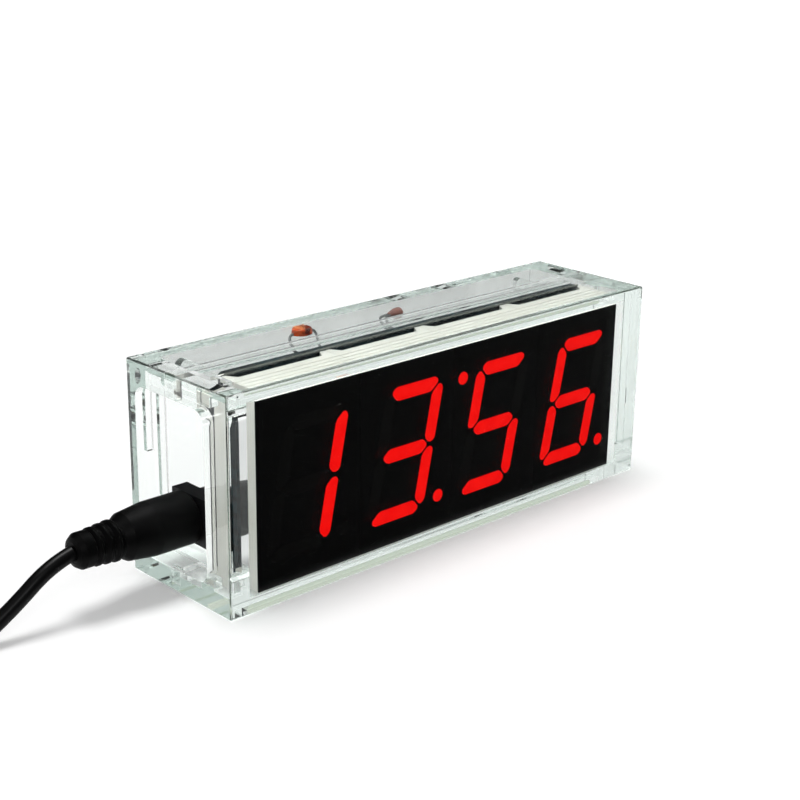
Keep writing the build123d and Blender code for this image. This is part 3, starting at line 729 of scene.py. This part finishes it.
solderSetup = {
    "moduleCentres": (-36.0, -12.0, 12.0, 36.0),
    "pitch": 2.54,
    "rows": (5.51, 35.99),  # mm, the pin rows' heights
    "boardBack": -1.85,
    "radius": 0.78,
    "tip": 0.34,
    "height": 0.95,
    "waist": (0.4, 0.72),  # its place in the height, and how much is left of the width
}


def addSolder(setup):
    # one cone is modelled and pulled in at its middle, and every joint is a copy of it
    clearSelection()
    bpy.ops.mesh.primitive_cone_add(
        vertices=20,
        radius1=setup["radius"] * mm,
        radius2=setup["tip"] * mm,
        depth=setup["height"] * mm,
        location=(0, 0, setup["height"] / 2 * mm),
    )
    first = bpy.context.object
    settle(first)
    bpy.ops.object.mode_set(mode="EDIT")
    bpy.ops.mesh.select_all(action="SELECT")
    place, left = setup["waist"]
    waist = (0, 0, place * setup["height"] * mm)
    bpy.ops.mesh.bisect(plane_co=waist, plane_no=(0, 0, 1))
    bpy.ops.transform.resize(value=(left, left, 1), center_override=waist)
    bpy.ops.object.mode_set(mode="OBJECT")
    first.rotation_euler = (math.radians(-90), 0, 0)
    settle(first)
    joints = []
    for centre in setup["moduleCentres"]:
        for column in range(-2, 3):
            for row in setup["rows"]:
                choose(first)
                bpy.ops.object.duplicate()
                joint = bpy.context.object
                place = (centre + setup["pitch"] * column, setup["boardBack"], row)
                joint.location = [c * mm for c in place]
                settle(joint)
                joints.append(joint)
    bpy.data.objects.remove(first)
    solder = brightMetal("solder", (0.7, 0.71, 0.72), (0.5, 0.51, 0.52), (0.2, 0.42), (400, 400, 400))
    finishPiece(joints, "solderJoints", solder, "clock")


addSolder(solderSetup)

silkSetup = {
    "boardBack": -1.85,
    "lift": 0.04,
    "line": 0.22,
    "frames": [  # mm: centre x and z, width and height
        (3.0, 14.5, 27.2, 12.0),
        (-9.0, 27.0, 12.0, 11.0),
        (32.0, 16.8, 24.2, 3.8),
        (-19.5, 11.0, 12.6, 6.2),
        (25.5, 26.4, 13.4, 13.4),
        (6.5, 27.6, 17.0, 14.8),
    ],
}


def addSilk(setup):
    strips = []
    line, back, lift = setup["line"], setup["boardBack"], setup["lift"]
    for x, z, width, height in setup["frames"]:
        left, right = x - width / 2, x + width / 2
        foot, top = z - height / 2, z + height / 2
        sides = [
            ((left, foot), (right, foot + line)),
            ((left, top - line), (right, top)),
            ((left, foot + line), (left + line, top - line)),
            ((right - line, foot + line), (right, top - line)),
        ]
        for (lowX, lowZ), (highX, highZ) in sides:
            strips.append(block((lowX, back, lowZ), (highX, back + lift, highZ), lift / 3))
    ink = mouldedPlastic("silkInk", (0.78, 0.8, 0.78), (0.6, 0.62, 0.6), rough=(0.5, 0.65), grain=1500)
    finishPiece(strips, "silkLines", ink, "clock")


addSilk(silkSetup)

chipSetup = {
    "dots": [(-8.2, 5.65, 12.4), (-12.9, 2.05, 25.0)],  # mm, on each chip's top at its first leg
    "dotRadius": 0.55,
    "dotHeight": 0.06,
    "ventCentre": (-29.0, 6.25, 11.5),
    "ventRadius": 1.95,
    "ventPlate": (-0.05, 0.15),  # mm: its foot from the can's top, and its thickness
    "ventBar": (1.56, 0.12),  # mm, half its length and half its width
    "ventHeights": (0.08, 0.16),
    "lidCentres": ((26.0, 10.0), (40.0, 10.0)),
    "lidReach": 2.35,  # mm from a lid's middle to its rivets, in X and in Z
    "rivetFoot": 1.93,  # mm in Y, a little below the lid's face
    "rivet": (0.42, 0.3, 0.2),  # mm: foot radius, tip radius, height
}


def addLegDots(setup):
    radius, height = setup["dotRadius"], setup["dotHeight"]
    dots = [stud(place, radius, height, bevel=height / 4) for place in setup["dots"]]
    paint = mouldedPlastic("dotPaint", (0.42, 0.42, 0.4), (0.3, 0.3, 0.29), rough=(0.5, 0.6), grain=1500)
    finishPiece(dots, "firstLegDots", paint, "clock")


def addVent(setup, material):
    x, y, z = setup["ventCentre"]
    long, short = setup["ventBar"]
    low, high = (y + height for height in setup["ventHeights"])
    foot, thick = setup["ventPlate"]
    vent = [stud((x, y + foot, z), setup["ventRadius"], thick, bevel=thick / 3, sides=40)]
    for reachX, reachZ in ((long, short), (short, long)):
        vent.append(block((x - reachX, low, z - reachZ), (x + reachX, high, z + reachZ), 0.03))
    finishPiece(vent, "canVent", material, "clock")


def addRivets(setup, material):
    radius, tip, height = setup["rivet"]
    reach = setup["lidReach"]
    rivets = []
    for x, z in setup["lidCentres"]:
        for side in (-1, 1):
            for end in (-1, 1):
                foot = (x + side * reach, setup["rivetFoot"], z + end * reach)
                rivets.append(stud(foot, radius, height, tip=tip, bevel=0.06))
    finishPiece(rivets, "lidRivets", material, "clock")


addLegDots(chipSetup)
addVent(chipSetup, canMetal)
addRivets(chipSetup, packageBlack)
print("board dressed")

cableSetup = {
    "diameter": 2.8,
    "length": 611.0,
    "route": [  # mm, from the plug to the coil
        (-74.4, 4.65, 12.35),
        (-79.0, 4.65, 11.2),
        (-85.6, 4.6, 6.4),
        (-93.2, 5.0, 1.5),
        (-99.6, 5.0, 1.4),
        (-104.5, 2.0, 1.4),
        (-106.9, -2.9, 1.4),
    ],
    "coilCentre": (-123.6, 5.2),
    "outerTurn": 18.6,
    "turnPitch": 2.85,
    "turns": 6.3,
    "firstAngle": -26.0,
    "riseTurns": (2.95, 3.35),  # where the cable climbs to the upper layer
    "riseDip": 0.25,  # mm, how far it leans inwards as it climbs
    "layers": (1.4, 4.2),
    "pointsPerTurn": 16,
    "tail": [(-141.3, -3.8, 4.05), (-146.4, -0.35, 4.05)],
}


def coilPoints(setup):
    start, stop = setup["riseTurns"]
    centreX, centreY = setup["coilCentre"]
    low, high = setup["layers"]
    widen = 1 / math.cos(math.pi / setup["pointsPerTurn"])  # the spline cuts inside its points
    points = []
    steps = round(setup["turns"] * setup["pointsPerTurn"])
    for step in range(1, steps + 1):
        turn = setup["turns"] * step / steps
        climb = min(max((turn - start) / (stop - start), 0), 1)
        fromOuter = min(turn, start) if turn < stop else setup["turns"] - turn
        lean = setup["riseDip"] * math.sin(math.pi * climb)
        radius = setup["outerTurn"] - setup["turnPitch"] * fromOuter - lean
        angle = math.radians(setup["firstAngle"] - 360 * turn)
        x = centreX + radius * widen * math.cos(angle)
        y = centreY + radius * widen * math.sin(angle)
        points.append((x, y, low + (high - low) * climb * climb * (3 - 2 * climb)))
    return points


plugFinish = mouldedPlastic(
    "softBlack",
    (0.0022, 0.0022, 0.0024),
    (0.0013, 0.0013, 0.0014),
    rough=(0.4, 0.52),
    grain=1800,
    lift=0.00002,
    gloss=0.1,
)
cableFinish = mouldedPlastic(
    "cableJacket",
    (0.003, 0.003, 0.0032),
    (0.002, 0.002, 0.0021),
    rough=(0.32, 0.44),
    grain=2500,
    gloss=0.2,
)
nickel = brightMetal("nickel", (0.8, 0.79, 0.76), (0.66, 0.65, 0.62), (0.14, 0.3))
goldFlash = brightMetal("goldFlash", (0.9, 0.62, 0.22), (0.8, 0.52, 0.16), (0.2, 0.3))
tongueWhite = mouldedPlastic(
    "tongueWhite",
    (0.8, 0.8, 0.78),
    (0.72, 0.72, 0.7),
    rough=(0.4, 0.5),
    grain=900,
)
cablePoints = cableSetup["route"] + coilPoints(cableSetup) + cableSetup["tail"]
cable = roundCurve(cablePoints, cableSetup["diameter"], "powerCable", around=5, along=8)
cable.data.materials.append(cableFinish)
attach(cable, "power_lead")
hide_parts("power_cable", "cable_coil", "cable_tail")
leadPieces = [nodes[name] for name in ("plug_body", "plug_sleeve", "plug_core")]
leadPieces += [nodes[name] for name in ("usb_body", "usb_shell", "usb_tongue", "usb_contacts")]
dress(plugFinish, "plug_body", "usb_body")
dress(nickel, "plug_sleeve", "usb_shell")
dress(tongueWhite, "usb_tongue")
dress(goldFlash, "usb_contacts")

tieSetup = {
    "centre": (-123.6, 5.2),
    "angle": 152.0,  # degrees round the coil
    "radii": (8.0, 20.8),  # mm, just inside and outside the turns
    "heights": (0.45, 6.2),
    "diameter": 0.8,
    "turns": 2,
    "apart": 1.0,
    "upperCorner": (1.0, 1.6),  # mm from a corner, across and in height, where the wire turns
    "lowerCorner": (1.5, 1.2),
    "ends": [  # mm from the outer turn, above the tie's top, and along the cable
        (-5.0, 0.3, 2.0),
        (-4.0, 1.0, 2.6),
        (-5.0, 1.3, 3.6),
        (-4.2, 0.9, 4.8),
        (-4.6, 0.8, 6.0),
    ],
}


def addTie(setup):
    # a wire tie wound round the turns, with its two ends twisted above them
    around = math.radians(setup["angle"])
    outward = (math.cos(around), math.sin(around))
    aside = (-outward[1], outward[0])
    inner, outer = setup["radii"]
    low, high = setup["heights"]
    upperReach, upperRise = setup["upperCorner"]
    lowerReach, lowerRise = setup["lowerCorner"]
    loop = [
        (outer - upperReach, high),
        (outer, high - upperRise),
        (outer, low + lowerRise),
        (outer - lowerReach, low),
        (inner + lowerReach, low),
        (inner, low + lowerRise),
        (inner, high - upperRise),
        (inner + upperReach, high),
    ]
    points = []
    for turn in range(setup["turns"]):
        points += [(reach, height, setup["apart"] * turn) for reach, height in loop]
    points += [(outer + reach, high + rise, along) for reach, rise, along in setup["ends"]]
    centreX, centreY = setup["centre"]
    path = []
    for reach, height, along in points:
        x = centreX + reach * outward[0] + along * aside[0]
        y = centreY + reach * outward[1] + along * aside[1]
        path.append((x, y, height))
    dark, darker = (0.012, 0.012, 0.012), (0.007, 0.007, 0.007)
    coat = mouldedPlastic("tieCoat", dark, darker, rough=(0.4, 0.55), grain=1500)
    band = wire(path, setup["diameter"], "coilTie")
    return finishPiece([band], "coilTie", coat, "power_lead")


coilTie = addTie(tieSetup)

gripSetup = {
    "start": (-146.4, -0.35),
    "heading": (-5.1, 3.45),
    "first": 9.5,  # mm along the plug
    "pitch": 1.9,
    "count": 6,
    "halfWidth": 4.6,
    "height": 8.05,
    "ridge": (0.9, 0.45),  # mm, width and height
    "sink": 0.15,
}


def addGripRidges(setup, material):
    angle = math.atan2(setup["heading"][1], setup["heading"][0])
    width, height = setup["ridge"]
    ridges = []
    for step in range(setup["count"]):
        along = setup["first"] + setup["pitch"] * step
        low = (along - width / 2, -setup["halfWidth"], setup["height"] - setup["sink"])
        high = (along + width / 2, setup["halfWidth"], setup["height"] + height)
        ridge = block(low, high, 0.2)
        ridge.rotation_euler = (0, 0, angle)
        ridge.location = [c * mm for c in (*setup["start"], 0)]
        settle(ridge)
        ridges.append(ridge)
    return finishPiece(ridges, "gripRidges", material, "power_lead")


gripRidges = addGripRidges(gripSetup, plugFinish)
print("lead dressed")

stageSetup = {
    "floorSize": 4.0,
    "floorHeight": -0.00005,  # just under the case, so that the two faces don't coincide
    "floorColour": (0.86, 0.86, 0.86),
    "lift": (0.17, 0.9),  # added white beside the clock, and far from it
    "liftThrough": 0.25,  # the same where the floor is seen through the clear walls
    "liftReach": (0.13, 0.5),  # m, where that change starts and ends
    "worldLight": 0.45,
    "mirrored": 0.004,  # how much of the floor in front and of the sky an outer wall mirrors
    "frontEdge": (-0.0145, -0.02),  # m, where that floor in front begins
}


def isSeen(tree, path):
    mirrored = maths(tree, "MAXIMUM", path.outputs["Is Glossy Ray"], path.outputs["Is Transmission Ray"])
    return maths(tree, "MAXIMUM", path.outputs["Is Camera Ray"], mirrored)


def mirroredOnce(tree, path):
    # a ray that either face of an outer wall has turned back has passed that wall's faces twice at most
    once = maths(tree, "COMPARE", path.outputs["Glossy Depth"], 1.0)
    few = maths(tree, "LESS_THAN", path.outputs["Transmission Depth"], 2.5)
    return maths(tree, "MULTIPLY", once, few)


def frontShare(tree, path, place, setup):
    inFront = rangeOf(tree, place.outputs["Y"], *setup["frontEdge"], 0.0, 1.0)
    lost = maths(tree, "MULTIPLY", mirroredOnce(tree, path), inFront)
    return maths(tree, "SUBTRACT", 1.0, maths(tree, "MULTIPLY", lost, 1 - setup["mirrored"]))


def addFloor(setup):
    clearSelection()
    bpy.ops.mesh.primitive_plane_add(size=setup["floorSize"], location=(0, 0, setup["floorHeight"]))
    floor = bpy.context.object
    floor.name = "floor"
    material, tree, shader = newMaterial("paleFloor")
    shader.inputs["Roughness"].default_value = 0.8
    shader.inputs["Specular IOR Level"].default_value = 0.1
    path = node(tree, "ShaderNodeLightPath")
    coords = objectCoords(tree)
    place = node(tree, "ShaderNodeSeparateXYZ", {0: coords})
    share = frontShare(tree, path, place, setup)
    paint = blend(tree, share, (0, 0, 0), setup["floorColour"])
    tree.links.new(paint, shader.inputs["Base Color"])
    away = node(tree, "ShaderNodeVectorMath", {0: coords}, operation="LENGTH").outputs["Value"]
    near = rangeOf(tree, away, *setup["liftReach"], *setup["lift"])
    through = maths(tree, "MULTIPLY", path.outputs["Is Transmission Ray"], setup["liftThrough"])
    lift = maths(tree, "MAXIMUM", near, through)
    glow = maths(tree, "MULTIPLY", maths(tree, "MULTIPLY", isSeen(tree, path), share), lift)
    shader.inputs["Emission Color"].default_value = (1, 1, 1, 1)
    tree.links.new(glow, shader.inputs["Emission Strength"])
    floor.data.materials.append(material)


def addWorld(setup):
    world = bpy.data.worlds.new("studio")
    world.use_nodes = True
    tree = world.node_tree
    back = tree.nodes["Background"]
    path = node(tree, "ShaderNodeLightPath")
    full = spread(tree, isSeen(tree, path), setup["worldLight"], 1.0)
    kept = spread(tree, mirroredOnce(tree, path), 1.0, setup["mirrored"])
    back.inputs["Color"].default_value = (1, 1, 1, 1)
    tree.links.new(maths(tree, "MULTIPLY", full, kept), back.inputs["Strength"])
    bpy.context.scene.world = world


lampSetups = [
    {"name": "overheadLamp", "place": (-0.03, 0.13, 0.9), "aim": (0, 0, 0), "size": 0.3, "power": 4.6},
    {"name": "frontLamp", "place": (-0.6, -0.8, 0.7), "aim": (0, 0, 0.02), "size": 0.3, "power": 2.0},
]


def addLamp(setup):
    data = bpy.data.lights.new(setup["name"], "AREA")
    data.size = setup["size"]
    data.energy = setup["power"]
    lamp = bpy.data.objects.new(setup["name"], data)
    bpy.context.collection.objects.link(lamp)
    lamp.location = setup["place"]
    aim = Vector(setup["aim"]) - Vector(setup["place"])
    lamp.rotation_euler = aim.to_track_quat("-Z", "Y").to_euler()


addFloor(stageSetup)
addWorld(stageSetup)
for lampSetup in lampSetups:
    addLamp(lampSetup)
bpy.context.scene.view_settings.view_transform = "Standard"
cycles = bpy.context.scene.cycles  # the clear walls turn a ray many times before it gets out
cycles.max_bounces = 64
cycles.glossy_bounces = 32
cycles.transmission_bounces = 32
print("stage lit")
